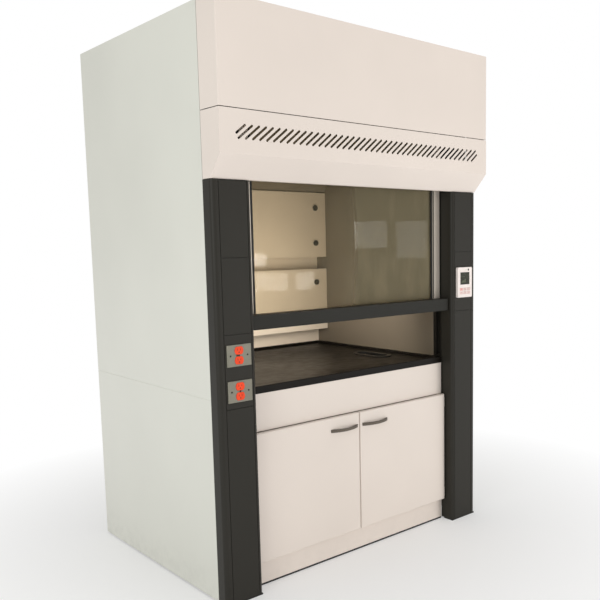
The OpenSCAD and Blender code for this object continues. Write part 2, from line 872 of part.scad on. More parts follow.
module sash_cables() {
    color("#b5b7b8") both_sides() sash_cable();
}

weight_w = 48;
weight_d = 44;
module counterweight() {
    x = cable_x + 2 * pulley_r;
    slab([x - weight_w / 2, cable_y - 16, weight_top_z - weight_l],
        [x + weight_w / 2, cable_y - 16 + weight_d, weight_top_z]);
}

module counterweight_right() { color("#4b4c4e") counterweight(); }
module counterweight_left() { color("#4b4c4e") mirror([1, 0, 0]) counterweight(); }

// ---- base cabinet --------------------------------------------------------------------------

cab_back_y = liner_back_y - 20;
cab_top_z = deck_z - 20;
shelf_z = 380;

// Sides, floor, back and one shelf
module cabinet_shell() {
    color("#e6e0da") {
        both_sides() {
            slab([cab_x - skin_t, apron_y + 2, plinth_z], [cab_x, cab_back_y, cab_top_z]);
            slab([cab_x - 30, apron_y + 2, plinth_z], [cab_x, apron_y + 4, cab_top_z]);
        }
        slab([-cab_x, apron_y + 2, plinth_z - skin_t], [cab_x, cab_back_y, plinth_z]);
        slab([-cab_x, cab_back_y - skin_t, plinth_z - skin_t], [cab_x, cab_back_y, cab_top_z]);
        slab([-cab_x + 1, apron_y + 120, shelf_z], [cab_x - 1, cab_back_y - 1, shelf_z + skin_t]);
        slab([-cab_x + 1, apron_y + 120, shelf_z - 20], [cab_x - 1, apron_y + 120 + skin_t, shelf_z + skin_t]);
    }
}

skirt_h = 9;

// Apron over the doors and the plinth under them
module cabinet_front() {
    gap = 2;
    color("#efe5dd") {
        slab([-cab_x, apron_y, door_z + gap], [cab_x, apron_y + skin_t, cab_top_z]);
        slab([-cab_x, apron_y, skirt_h], [cab_x, apron_y + skin_t, plinth_z]);
        slab([-cab_x + 31, apron_y, door_z + gap], [cab_x - 31, apron_y + 25, door_z + gap + skin_t]);
        slab([-cab_x, apron_y, skirt_h], [cab_x, apron_y + 30, skirt_h + skin_t]);
    }
}

door_low_z = plinth_z + 3;
door_gap = 2;
door_edge_r = 6;

// Outer form of the right door with its front edges rounded
module door_form(inset) {
    w = cab_x - door_gap;
    h = door_z - door_low_z;
    intersection() {
        translate([door_gap + inset, door_y + inset, door_low_z + inset])
            linear_extrude(h - 2 * inset) front_rounded([w - 2 * inset, door_t - 2 * inset], door_edge_r - inset);
        translate([door_gap + inset, door_y + inset, door_z - inset]) rotate([0, 90, 0])
            linear_extrude(w - 2 * inset) front_rounded([h - 2 * inset, door_t - 2 * inset], door_edge_r - inset);
    }
}

// Double-skinned door with a pivot block around each hinge pin
module door() {
    block = 25;
    difference() {
        union() {
            difference() {
                door_form(0);
                door_form(skin_t);
            }
            for (z = hinge_zs)
                slab([cab_x - 24, door_y + 1, z - block], [cab_x - 0.5, door_y + door_t - 0.5, z + block]);
        }
        for (z = hinge_zs) {
            slab([cab_x - 25, door_y + 2, z - notch_h / 2], [cab_x + 1, door_y + door_t + 1, z + notch_h / 2]);
            translate([pin_x, pin_y, z - block - 1]) cylinder(h = 2 * block + 2, r = pin_r + pin_clear);
        }
    }
}

// Segment of a disc: chord l on the X axis, bulging s towards -Y
module bow(l, s) {
    r = (l * l / 4 + s * s) / (2 * s);
    intersection() {
        translate([0, r - s]) circle(r, $fn = 180);
        translate([-l / 2, -s - 1]) square([l, s + 1]);
    }
}

pull_depth = 26;                         // how far a handle stands off its door
pull_foot_l = 16;
pull_foot_t = 3;
pull_t = 6;
pull_h = 14;

// Bowed strip pull on two broad feet
module door_handle() {
    z = door_z - 60;
    translate([15 + handle_l / 2, door_y, z - pull_h / 2]) linear_extrude(pull_h) difference() {
        union() {
            translate([0, -pull_foot_t]) bow(handle_l, pull_depth - pull_foot_t);
            translate([-handle_l / 2, -pull_foot_t]) square([handle_l, pull_foot_t]);
        }
        translate([0, 0.01]) bow(handle_l - 2 * pull_foot_l, pull_depth - pull_t + 0.01);
    }
}

module handle_right() { color("#8a857d") door_handle(); }
module handle_left() { color("#8a857d") mirror([1, 0, 0]) door_handle(); }

module door_right() { color("#efe5dd") door(); }
module door_left() { color("#efe5dd") mirror([1, 0, 0]) door(); }

// Arm and pin of one concealed pivot hinge, screwed to the cabinet's front flange
module pivot_hinge(z) {
    arm_half = 7;
    slab([pin_x - arm_half, pin_y, z - 1.5], [pin_x + arm_half, apron_y + 2, z + 1.5]);
    slab([cab_x - 28, apron_y, z - 20], [cab_x, apron_y + 2, z + 20]);
    translate([pin_x, pin_y, z - 1.5]) cylinder(h = 3, r = arm_half);
    translate([pin_x, pin_y, z - 22]) cylinder(h = 44, r = pin_r);
}

module door_hinges() {
    color("#b9bbbb") both_sides() {
        for (z = hinge_zs) pivot_hinge(z);
    }
}

// Pads under the posts and uprights, levelling feet and the dark skirt under the plinth
module base_pads() {
    color("#1d1c1a") {
        slab([-cab_x, apron_y + 1, 0], [cab_x, apron_y + 5, skirt_h]);
        both_sides() {
            slab([open_x + 1, front_y + 1, 0], [half_w - 1, front_y + post_return - 1, foot_h]);
            for (y = [upright_front_y + tube / 2 + 12, upright_rear_y + tube / 2]) {
                translate([upright_x - tube / 2, y, 0]) cylinder(h = 10, r = 19);
                translate([upright_x - tube / 2, y, 10]) cylinder(h = foot_top - 10, r = 12);
            }
            for (y = [apron_y + 60, cab_back_y - 60]) {
                translate([cab_x - 60, y, 0]) cylinder(h = 12, r = 25);
                translate([cab_x - 60, y, 12]) cylinder(h = plinth_z - skin_t - 12, r = 7);
            }
        }
    }
}

// ---- assembly ------------------------------------------------------------------------------

side_panels_left();
side_panels_right();
rear_panels();
panel_screws();
top_panel();
exhaust_collar();
collar_bolts();
head_access_panel();
bypass_fascia();
frame_uprights();
frame_rails();
post_left();
post_right();
post_cover_plates();
outlet_cover_plate();
outlet_plates();
outlet_receptacles();
outlet_boxes();
outlet_screws();
controller_housing();
controller_screen();
key_power();
key_fan();
key_lamp();
key_up();
key_down();
key_set();
liner_sides();
liner_back();
ceiling();
lamp_housing();
lamp_tube();
lamp_lens();
baffle_lower();
baffle_upper();
baffle_top();
baffle_standoffs();
baffle_knobs();
worktop();
cup_sink();
sash_glass();
sash_bar();
sash_stiles();
sash_gaskets();
sash_shoes();
sash_tracks();
pulley_brackets();
pulley_left();
pulley_right();
sash_cables();
counterweight_left();
counterweight_right();
cabinet_shell();
cabinet_front();
door_left();
door_right();
handle_left();
handle_right();
door_hinges();
base_pads();
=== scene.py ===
import math

import bmesh
import bpy
from mathutils import Matrix, Vector


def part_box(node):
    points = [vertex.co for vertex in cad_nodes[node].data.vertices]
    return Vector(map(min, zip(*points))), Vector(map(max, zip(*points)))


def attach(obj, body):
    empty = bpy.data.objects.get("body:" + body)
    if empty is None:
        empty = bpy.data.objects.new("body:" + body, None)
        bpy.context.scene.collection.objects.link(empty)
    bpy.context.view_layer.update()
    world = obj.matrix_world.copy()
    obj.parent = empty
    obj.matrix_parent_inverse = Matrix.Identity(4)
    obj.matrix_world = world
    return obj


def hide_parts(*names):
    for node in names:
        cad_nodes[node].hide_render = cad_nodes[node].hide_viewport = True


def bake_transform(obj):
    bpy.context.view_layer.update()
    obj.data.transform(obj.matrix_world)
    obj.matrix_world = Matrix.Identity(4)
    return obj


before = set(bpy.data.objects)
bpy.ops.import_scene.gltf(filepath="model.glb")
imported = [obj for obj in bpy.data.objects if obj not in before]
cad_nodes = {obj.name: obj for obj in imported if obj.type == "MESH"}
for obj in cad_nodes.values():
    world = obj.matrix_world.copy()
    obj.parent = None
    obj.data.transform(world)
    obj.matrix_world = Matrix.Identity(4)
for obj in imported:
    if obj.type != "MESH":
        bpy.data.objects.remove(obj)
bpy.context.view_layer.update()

MM = 0.001


# ---- node arithmetic -------------------------------------------------------------------------


class Wire:
    """One output of a node. Arithmetic on wires adds the Math nodes for it."""

    def __init__(self, finish, socket):
        self.finish, self.socket = finish, socket

    def calc(self, operation, *values):
        return self.finish.add("Math", {"operation": operation}, dict(enumerate(values)))

    def __add__(self, other):
        return self.calc("ADD", self, other)

    def __sub__(self, other):
        return self.calc("SUBTRACT", self, other)

    def __rsub__(self, other):
        return self.calc("SUBTRACT", other, self)

    def __mul__(self, other):
        return self.calc("MULTIPLY", self, other)

    __radd__ = __add__
    __rmul__ = __mul__

    def spread(self, low, high, to_low=0.0, to_high=1.0):
        """This wire's range low..high stretched over to_low..to_high and held there."""
        ends = {"From Min": low, "From Max": high, "To Min": to_low, "To Max": to_high}
        return self.finish.add("MapRange", {"clamp": True}, {"Value": self, **ends})


# numbers of a colour Mix node's sockets
MIX_SHARE, MIX_FIRST, MIX_SECOND, MIX_RESULT = 0, 6, 7, 2


class Finish:
    """The nodes of one material, or of the world, built one by one."""

    def __init__(self, name, owner=None):
        self.owner = owner or bpy.data.materials.new(name)
        self.owner.use_nodes = True
        self.tree = self.owner.node_tree
        self.tree.nodes.clear()
        self.points = None

    def add(self, kind, settings=None, sockets=None, out=0):
        """A node of this kind: its settings first, then the values or wires of its sockets.

        out is the name or number of the output that is handed back.
        """
        node = self.tree.nodes.new("ShaderNode" + kind)
        for key, value in (settings or {}).items():
            setattr(node, key, value)
        for key, value in (sockets or {}).items():
            if isinstance(value, Wire):
                self.tree.links.new(value.socket, node.inputs[key])
            else:
                node.inputs[key].default_value = value
        return Wire(self, node.outputs[out])

    def place(self):
        """Where a point is on the object, in metres."""
        if self.points is None:
            self.points = self.add("TexCoord", out="Object")
        return self.points

    def height(self):
        """A point's height over the floor at rest."""
        return self.add("SeparateXYZ", sockets={"Vector": self.place()}, out="Z")

    def drawn(self, stretch):
        """The point's place, stretched so that a pattern runs in long lines."""
        return self.add("VectorMath", {"operation": "MULTIPLY"}, {0: self.place(), 1: stretch})

    def noise(self, size, detail=2.0, roughness=0.5, place=None):
        """Soft random cloud whose blotches are about this many metres across."""
        pattern = {"Scale": 1 / size, "Detail": detail, "Roughness": roughness}
        return self.add("TexNoise", sockets={"Vector": place or self.place(), **pattern})

    def cells(self, size, out="Color"):
        """Random patches of about this size, each of one value."""
        return self.add("TexVoronoi", sockets={"Vector": self.place(), "Scale": 1 / size}, out=out)

    def mixed(self, share, first, second):
        """Colour between first and second."""
        sockets = {MIX_SHARE: share, MIX_FIRST: first, MIX_SECOND: second}
        return self.add("Mix", {"data_type": "RGBA"}, sockets, MIX_RESULT)

    def clouded(self, cloud, colour, darkest, palest, ends=(0.3, 0.7)):
        """The colour, drifting with the cloud between a darker and a paler shade of it."""
        return self.mixed(cloud.spread(*ends), shade(colour, darkest), shade(colour, palest))

    def raised(self, relief, depth, strength=1.0, under=None):
        """Normal of a surface whose relief is this deep, in metres."""
        sockets = {"Height": relief, "Distance": depth, "Strength": strength}
        if under:
            sockets["Normal"] = under
        return self.add("Bump", sockets=sockets)

    def surface(self, **sockets):
        """The shader itself."""
        named = {key.replace("_", " "): value for key, value in sockets.items()}
        return self.add("BsdfPrincipled", sockets=named)

    def close(self, shader, output="OutputMaterial"):
        """Joins the shader to the output and hands back the finished material or world."""
        end = self.tree.nodes.new("ShaderNode" + output)
        self.tree.links.new(shader.socket, end.inputs["Surface"])
        return self.owner


def tone(red, green, blue):
    """A display colour, 0 to 255, as a linear one."""

    def straight(value):
        value /= 255
        return value / 12.92 if value <= 0.04045 else ((value + 0.055) / 1.055) ** 2.4

    return (straight(red), straight(green), straight(blue), 1.0)


def shade(colour, by):
    """The colour made lighter or darker."""
    return tuple(min(1.0, c * by) for c in colour[:3]) + (1.0,)


# ---- finishes --------------------------------------------------------------------------------

# how strongly a finish mirrors what faces it: as bare plastic does, dulled, and least of all
PLAIN_SHINE, DULL_SHINE, MATT_SHINE = 0.5, 0.2, 0.14
# dust and mop marks fade out at this height over the floor
SOILED_HEIGHT = 0.16


def powder_coat(
    name,
    colour,
    gloss,
    peel=1.6 * MM,
    depth=0.04 * MM,
    waviness=0.0,
    scuffs=0.0,
    soil=0.0,
    shine=PLAIN_SHINE,
):
    """Baked paint: fine orange peel, cloudy sheen, and on big skins a faint waviness of the sheet."""
    f = Finish(name)
    cloud = f.noise(0.55, 3.0)
    speck = f.noise(12 * MM)
    near_floor = f.height().spread(0.0, SOILED_HEIGHT, 1.0, 0.0)
    dirt = near_floor * f.noise(50 * MM, 4.0, 0.6).spread(0.42, 0.72) * soil
    body = f.clouded(cloud, colour, 0.965, 1.02)
    body = f.mixed(speck.spread(0.66, 0.8) * 0.10, body, shade(colour, 0.86))
    body = f.mixed(dirt, body, shade(colour, 0.55))
    scratch = f.noise(4 * MM, 3.0, 0.6, f.drawn((1.0, 1.0, 0.06))).spread(0.60, 0.78)
    rubbed = scratch * f.noise(0.3).spread(0.5, 0.7)
    body = f.mixed(rubbed * scuffs, body, shade(colour, 1.5))
    rough = gloss + (cloud - 0.5) * 0.10 + speck * 0.04 + dirt * 0.2
    normal = f.raised(f.noise(peel, 1.0), depth)
    if waviness:
        normal = f.raised(f.noise(0.42, 1.0), waviness, under=normal)
    return f.close(f.surface(Base_Color=body, Roughness=rough, Normal=normal, Specular_IOR_Level=shine))


def resin_board(name, colour, gloss):
    """Smooth liner board: faint cloudiness, wiped streaks and a very fine tooth."""
    f = Finish(name)
    cloud = f.noise(0.4, 3.0)
    wipe = f.noise(0.12, 2.0, 0.5, f.drawn((1.0, 1.0, 0.3)))
    body = f.clouded(cloud, colour, 0.93, 1.04)
    body = f.mixed(wipe.spread(0.5, 0.8) * 0.10, body, shade(colour, 0.88))
    rough = gloss + (wipe - 0.5) * 0.08
    tooth = f.raised(f.noise(0.9 * MM), 0.02 * MM)
    return f.close(f.surface(Base_Color=body, Roughness=rough, Normal=tooth))


def brushed(name, colour, gloss, along, depth=0.012 * MM, metal=1.0):
    """Brushed metal; along is a stretch per axis, small for the one that the brushing follows."""
    f = Finish(name)
    line = f.noise(0.5 * MM, 3.0, 0.6, f.drawn(along))
    cloud = f.noise(0.05, 3.0)
    body = f.clouded(line, colour, 0.82, 1.1)
    body = f.mixed(cloud.spread(0.4, 0.75) * 0.3, body, shade(colour, 0.85))
    rough = gloss + (line - 0.5) * 0.18 + (cloud - 0.5) * 0.1
    return f.close(f.surface(Base_Color=body, Metallic=metal, Roughness=rough, Normal=f.raised(line, depth)))


def spangled(name, colour):
    """Galvanised sheet: zinc crystals that catch the light one by one."""
    f = Finish(name)
    crystal = f.add("SeparateColor", sockets={0: f.cells(9 * MM)})
    cloud = f.noise(0.08, 3.0)
    body = f.clouded(crystal, colour, 0.78, 1.14, (0.0, 1.0))
    body = f.mixed(cloud.spread(0.45, 0.75) * 0.35, body, shade(colour, 0.7))
    rough = 0.30 + crystal * 0.18 + cloud * 0.08
    normal = f.raised(crystal, 0.02 * MM, 0.5)
    return f.close(f.surface(Base_Color=body, Metallic=0.85, Roughness=rough, Normal=normal))


def moulded(name, colour, gloss, grain=0.7 * MM, depth=0.02 * MM, drift=0.05, shine=PLAIN_SHINE):
    """Injection-moulded plastic with a fine spark-eroded texture."""
    f = Finish(name)
    cloud = f.noise(0.03, 3.0)
    tooth = f.noise(grain)
    body = f.clouded(cloud, colour, 1 - drift, 1 + drift)
    rough = gloss + (tooth - 0.5) * 0.14 + (cloud - 0.5) * 0.08
    normal = f.raised(tooth, depth)
    return f.close(f.surface(Base_Color=body, Roughness=rough, Normal=normal, Specular_IOR_Level=shine))


def epoxy_top(name, colour):
    """Cast black resin worktop: faint mineral specks under a semi-gloss, wiped surface."""
    f = Finish(name)
    cloud = f.noise(0.3, 4.0, 0.6)
    wipe = f.noise(0.05, 3.0, 0.6)
    fleck = f.noise(1.3 * MM, 1.0).spread(0.68, 0.76)
    body = f.clouded(cloud, colour, 0.8, 1.25, (0.35, 0.7))
    body = f.mixed(fleck * 0.25, body, shade(colour, 3.0))
    rough = 0.30 + cloud.spread(0.3, 0.7) * 0.10 + wipe.spread(0.4, 0.8) * 0.10
    normal = f.raised(f.noise(2.4 * MM), 0.03 * MM)
    return f.close(f.surface(Base_Color=body, Roughness=rough, Normal=normal, Specular_IOR_Level=MATT_SHINE))


def cast_metal(name, colour):
    """Painted grey iron with a sandy casting skin."""
    f = Finish(name)
    sand = f.noise(1.5 * MM, 4.0, 0.7)
    body = f.mixed(f.noise(0.06, 3.0).spread(0.4, 0.7), colour, shade(colour, 1.5))
    return f.close(f.surface(Base_Color=body, Roughness=0.5 + sand * 0.2, Normal=f.raised(sand, 0.3 * MM)))


def soft_rubber(name, colour):
    """Matt black rubber, a little dusty."""
    f = Finish(name)
    dust = f.noise(0.02, 5.0, 0.7).spread(0.5, 0.8)
    body = f.mixed(dust * 0.35, colour, shade(colour, 3.2))
    tooth = f.raised(f.noise(0.6 * MM), 0.03 * MM)
    return f.close(f.surface(Base_Color=body, Roughness=0.62 + dust * 0.2, Normal=tooth))


def stranded_steel(name):
    """Wire rope: strands that wind round at a steady pitch, painted dark in their grooves and light on their
    crests as painted shade and highlight.
    """
    f = Finish(name)
    strands = f.add(
        "TexWave",
        {"wave_type": "BANDS", "bands_direction": "DIAGONAL"},
        {"Vector": f.place(), "Scale": 120.0, "Distortion": 0.4, "Detail": 1.0},
        "Fac",
    )
    # painted shade in the grooves between strands and a painted highlight on their crests
    body = f.mixed(strands, tone(70, 70, 68), tone(190, 190, 186))
    lay = f.raised(strands, 0.25 * MM)
    return f.close(f.surface(Base_Color=body, Metallic=0.9, Roughness=0.34 + strands * 0.1, Normal=lay))


def sash_pane(name, tint, film):
    """Laminated glass: tinted, mirror-like at a slant, with a faint wiped film on it."""
    f = Finish(name)
    smear = f.noise(0.10, 4.0, 0.6, f.drawn((1.0, 1.0, 0.45))).spread(0.45, 0.8)
    clear = f.add("BsdfTransparent", sockets={"Color": tint})
    dusty = f.mixed(smear, film, shade(film, 1.3))
    front = f.surface(Base_Color=dusty, Roughness=0.012 + smear * 0.02)
    slant = f.add("Fresnel", sockets={"IOR": 1.5})
    share = slant * 0.9 + 0.015 + smear * 0.02
    return f.close(f.add("MixShader", sockets={0: share, 1: clear, 2: front}))


def opal(name):
    """Milky lamp cover with a prismatic pattern."""
    f = Finish(name)
    prism = f.cells(5 * MM, out="Distance")
    body = f.mixed(prism.spread(0.0, 0.004), tone(238, 238, 230), tone(250, 250, 244))
    return f.close(f.surface(Base_Color=body, Roughness=0.4 + prism * 20, Normal=f.raised(prism, 0.6 * MM)))


def display_window(name):
    """Dark display glass over a faintly green panel of dots."""
    f = Finish(name)
    dots = f.add("TexVoronoi", {"feature": "F1"}, {"Vector": f.place(), "Scale": 900.0, "Randomness": 0.0})
    cloud = f.noise(0.03, 3.0)
    body = f.mixed(dots.spread(0.2, 0.5), tone(38, 42, 30), tone(50, 53, 40))
    body = f.mixed(cloud.spread(0.4, 0.7) * 0.5, body, tone(30, 32, 25))
    return f.close(f.surface(Base_Color=body, Roughness=0.12 + cloud * 0.1, Specular_IOR_Level=0.3))


def printed(name, colour):
    """Screen-printed ink, slightly uneven."""
    f = Finish(name)
    uneven = f.noise(0.6 * MM)
    body = f.clouded(uneven, colour, 0.9, 1.1)
    return f.close(f.surface(Base_Color=body, Roughness=0.45 + uneven * 0.15))


# the side and front whites are one white paint: the side copy is greener and darker as painted shade, the
# front copy warmer as painted warm light
SIDE_WHITE_GREEN_SHADED = tone(216, 216, 207)
FRONT_WHITE_WARM_LIT = tone(226, 215, 206)
CREAM = tone(230, 214, 192)
# the tan is the cream liner board darkened as painted shade, for the liners, ceiling and top baffle that get
# less light
LINER_SHADED_TAN = tone(128, 117, 101)
CHARCOAL = tone(45, 43, 38)
TRIM_DARK = tone(30, 28, 24)
BAR_DARK = tone(36, 35, 30)
BLACK = tone(28, 27, 25)
ORANGE = tone(236, 74, 38)

FINISHES = {
    # side_paint and front_paint differ only by that painted shade and painted warm light
    "side_paint": powder_coat("side_paint", SIDE_WHITE_GREEN_SHADED, 0.30, waviness=0.9 * MM, soil=0.25),
    "front_paint": powder_coat("front_paint", FRONT_WHITE_WARM_LIT, 0.33, waviness=0.5 * MM, soil=0.12),
    "inner_paint": powder_coat("inner_paint", tone(196, 184, 160), 0.42, soil=0.2),
    "charcoal_paint": powder_coat(
        "charcoal_paint", CHARCOAL, 0.42, 0.9 * MM, 0.05 * MM, scuffs=0.12, soil=0.3, shine=DULL_SHINE
    ),
    "charcoal_trim": powder_coat("charcoal_trim", TRIM_DARK, 0.42, 1.0 * MM, shine=DULL_SHINE),
    "bar_aluminium": powder_coat("bar_aluminium", BAR_DARK, 0.38, 0.9 * MM, scuffs=0.12, shine=DULL_SHINE),
    "liner_board": resin_board("liner_board", CREAM, 0.34),
    # the liner board's darker copy: painted shade
    "shaded_liner_board": resin_board("shaded_liner_board", LINER_SHADED_TAN, 0.36),
    "galvanised": spangled("galvanised", tone(176, 178, 176)),
    "stainless": brushed("stainless", tone(140, 137, 124), 0.44, (0.03, 1.0, 1.0), metal=0.85),
    "stile_aluminium": brushed("stile_aluminium", tone(216, 205, 192), 0.5, (1.0, 1.0, 0.02), metal=0.4),
    "steel": brushed("steel", tone(168, 168, 164), 0.32, (1.0, 1.0, 0.1)),
    "handle_metal": brushed("handle_metal", tone(112, 104, 95), 0.36, (0.03, 1.0, 1.0)),
    "sash_glass": sash_pane("sash_glass", (0.87, 0.845, 0.785, 1.0), tone(150, 144, 124)),
    "lens": opal("lens"),
    "lamp": moulded("lamp", tone(250, 250, 246), 0.15, 4 * MM, 0.01 * MM, 0.02),
    "black_rubber": soft_rubber("black_rubber", tone(26, 25, 23)),
    "black_plastic": moulded("black_plastic", BLACK, 0.36, 0.9 * MM, 0.03 * MM, 0.2),
    "white_plastic": moulded("white_plastic", tone(238, 228, 223), 0.38, 0.8 * MM),
    "nylon": moulded("nylon", tone(214, 211, 200), 0.45),
    "orange_plastic": moulded("orange_plastic", ORANGE, 0.34, 1.2 * MM, 0.01 * MM, 0.08, DULL_SHINE),
    "screen": display_window("screen"),
    "key_grey": moulded("key_grey", tone(228, 200, 194), 0.5, 0.6 * MM),
    "key_red": moulded("key_red", tone(228, 178, 172), 0.5, 0.6 * MM),
    "worktop_black": epoxy_top("worktop_black", tone(22, 19, 15)),
    "iron": cast_metal("iron", tone(70, 72, 74)),
    "black_screw": brushed("black_screw", tone(52, 50, 46), 0.35, (0.3, 1.0, 1.0)),
    # the orange receptacle plastic darkened as painted shade, for the insides of its slots
    "slot_shade": moulded("slot_shade", tone(58, 16, 12), 0.5),
    "rope": stranded_steel("rope"),
    "ink_grey": printed("ink_grey", tone(120, 110, 106)),
    "ink_red": printed("ink_red", tone(200, 96, 88)),
    "lcd_mark": printed("lcd_mark", tone(92, 100, 76)),
    "lamp_green": moulded("lamp_green", tone(70, 170, 90), 0.2, 1.0 * MM),
}


# ---- carried-over parts ----------------------------------------------------------------------

# finish, and edge radius in millimetres, of every part that is shown as it is
DRESSED = {
    "side_panels_left": ("side_paint", 0.6),
    "side_panels_right": ("side_paint", 0.6),
    "rear_panels": ("side_paint", 0.5),
    "top_panel": ("side_paint", 0.4),
    "exhaust_collar": ("galvanised", 0.6),
    "collar_bolts": ("steel", 0.4),
    "head_access_panel": ("front_paint", 0.6),
    "bypass_fascia": ("front_paint", 0.5),
    "frame_uprights": ("galvanised", 1.0),
    "frame_rails": ("galvanised", 1.0),
    "post_left": ("charcoal_paint", 0.5),
    "post_right": ("charcoal_paint", 0.5),
    "post_cover_plates": ("charcoal_paint", 0.7),
    "outlet_cover_plate": ("charcoal_paint", 0.7),
    "outlet_plates": ("stainless", 0.6),
    "outlet_receptacles": ("orange_plastic", 0.4),
    "outlet_boxes": ("galvanised", 0.4),
    "controller_housing": ("white_plastic", 1.2),
    "controller_screen": ("screen", 0.3),
    "key_power": ("key_red", 0.9),
    "key_fan": ("key_grey", 0.9),
    "key_lamp": ("key_grey", 0.9),
    "key_up": ("key_grey", 0.9),
    "key_down": ("key_grey", 0.9),
    "key_set": ("key_grey", 0.9),
    # the side liners, ceiling and top baffle wear the shaded copy of the liner board: painted shade
    "liner_sides": ("shaded_liner_board", 0.6),
    "liner_back": ("liner_board", 0.6),
    "ceiling": ("shaded_liner_board", 0.5),
    "lamp_housing": ("inner_paint", 0.5),
    "lamp_tube": ("lamp", 0.8),
    "lamp_lens": ("lens", 0.6),
    "baffle_lower": ("liner_board", 1.0),
    "baffle_upper": ("liner_board", 1.0),
    "baffle_top": ("shaded_liner_board", 1.0),
    "baffle_standoffs": ("steel", 0.5),
    "worktop": ("worktop_black", 3.0),
    "cup_sink": ("black_plastic", 1.4),
    "sash_glass": ("sash_glass", 0.8),
    "sash_bar": ("bar_aluminium", 1.2),
    "sash_stiles": ("stile_aluminium", 1.2),
    "sash_gaskets": ("black_rubber", 0.6),
    "sash_shoes": ("nylon", 1.0),
    "sash_tracks": ("charcoal_trim", 0.5),
    "pulley_brackets": ("steel", 0.5),
    "pulley_left": ("nylon", 0.5),
    "pulley_right": ("nylon", 0.5),
    "counterweight_left": ("iron", 2.5),
    "counterweight_right": ("iron", 2.5),
    "cabinet_shell": ("inner_paint", 0.4),
    "cabinet_front": ("front_paint", 0.5),
    "door_left": ("front_paint", 0.4),
    "door_right": ("front_paint", 0.4),
    "handle_left": ("handle_metal", 1.6),
    "handle_right": ("handle_metal", 1.6),
    "door_hinges": ("steel", 0.5),
    "base_pads": ("black_rubber", 1.2),
}


# corners nearer than this are one, and faces closer to flat than this are one
WELD_GAP = 0.002 * MM
FLAT_ANGLE = math.radians(0.4)


def rounded(piece, radius, segments, angle):
    """Bevels the edges that are sharper than the angle, in degrees, and keeps flat faces flat."""
    edge = piece.modifiers.new("edges", "BEVEL")
    edge.width = radius
    edge.segments = segments
    edge.limit_method = "ANGLE"
    edge.angle_limit = math.radians(angle)
    shading = piece.modifiers.new("shading", "WEIGHTED_NORMAL")
    shading.keep_sharp = False
    return edge, shading


def round_edges(piece, radius):
    """Joins the mesh's faces up, then rounds its sharp edges."""
    mesh = piece.data
    for layer in ("custom_normal", "sharp_edge", "sharp_face"):
        if layer in mesh.attributes:
            mesh.attributes.remove(mesh.attributes[layer])
    mesh.polygons.foreach_set("use_smooth", [True] * len(mesh.polygons))
    weld = piece.modifiers.new("join", "WELD")
    weld.merge_threshold = WELD_GAP
    flat = piece.modifiers.new("one face each", "DECIMATE")
    flat.decimate_type = "DISSOLVE"
    flat.angle_limit = FLAT_ANGLE
    edge, shading = rounded(piece, radius, 2, 32)
    edge.use_clamp_overlap = False
    edge.miter_outer = "MITER_ARC"
    shading.mode = "FACE_AREA"


def dress(name, finish, radius):
    """Gives a carried-over part its finish and its edges."""
    piece = cad_nodes[name]
    piece.data.materials.clear()
    piece.data.materials.append(FINISHES[finish])
    round_edges(piece, radius * MM)


for part, (finish, radius) in DRESSED.items():
    dress(part, finish, radius)


# ---- building new pieces ---------------------------------------------------------------------


def new_piece(name, shape, finish, body, smooth=True):
    """A finished mesh object from a bmesh, riding on a body unless it is to be stretched between two."""
    mesh = bpy.data.meshes.new(name)
    bmesh.ops.recalc_face_normals(shape, faces=shape.faces)
    shape.to_mesh(mesh)
    shape.free()
    mesh.polygons.foreach_set("use_smooth", [smooth] * len(mesh.polygons))
    mesh.materials.append(FINISHES[finish])
    piece = bpy.data.objects.new(name, mesh)
    bpy.context.scene.collection.objects.link(piece)
    if body:
        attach(piece, body)
    return piece


def soften(piece, radius, segments=2, angle=35):
    """Rounded edges on a new piece, held back where they would run into each other."""
    edge, _ = rounded(piece, radius, segments, angle)
    edge.use_clamp_overlap = True


def slab(shape, corner, opposite):
    """A box between two opposite corners, added to the shape."""
    low, high = Vector(tuple(map(min, corner, opposite))), Vector(tuple(map(max, corner, opposite)))
    place = Matrix.Translation((low + high) / 2) @ Matrix.Diagonal(((high - low)[:]) + (1,))
    bmesh.ops.create_cube(shape, size=1.0, matrix=place)


def around(steps):
    """Even angles round a full turn."""
    return [2 * math.pi * i / steps for i in range(steps)]


def skinned(shape, rings):
    """Faces between each ring of corners and the next."""
    for low, high in zip(rings, rings[1:]):
        for i in range(len(low)):
            j = (i + 1) % len(low)
            shape.faces.new((low[i], low[j], high[j], high[i]))


def turned(shape, profile, place, steps=32, swell=lambda angle, radius: radius):
    """A turned form round the local Z axis; swell lets the radius change with the angle."""
    rings = []
    for radius, z in profile:
        ring = []
        for angle in around(steps):
            wide = swell(angle, radius)
            ring.append(shape.verts.new(place @ Vector((wide * math.cos(angle), wide * math.sin(angle), z))))
        rings.append(ring)
    skinned(shape, rings)
    shape.faces.new(rings[0][::-1])
    shape.faces.new(rings[-1])


def facing_front(x, y, z):
    """Places a form so that its local Z axis looks out of the front."""
    return Matrix.Translation((x, y, z)) @ Matrix.Rotation(math.radians(90), 4, "X")


def facing_back(x, y, z):
    """Places a form so that its local Z axis looks out of the back."""
    return Matrix.Translation((x, y, z)) @ Matrix.Rotation(math.radians(-90), 4, "X")


# ---- baffle knobs ----------------------------------------------------------------------------


KNOB_RADIUS = 17 * MM
KNOB_HEIGHTS = (1.020, 1.223, 1.451, 1.653)
# a knob from its seat to its crown: radius in millimetres, share of its height
KNOB_PROFILE = (
    (10.0, 0.0),
    (10.0, 0.24),
    (14.6, 0.27),
    (16.4, 0.34),
    (17.0, 0.48),
    (17.0, 0.74),
    (16.2, 0.86),
    (14.2, 0.93),
    (10.0, 0.93),
    (9.2, 0.97),
    (5.0, 0.995),
    (0.8, 1.0),
)
# the grip has finger dips outside this radius: how many, and how deep for their size
STEM_RADIUS = 12 * MM
FINGER_DIPS, DIP_DEPTH = 6, 0.075


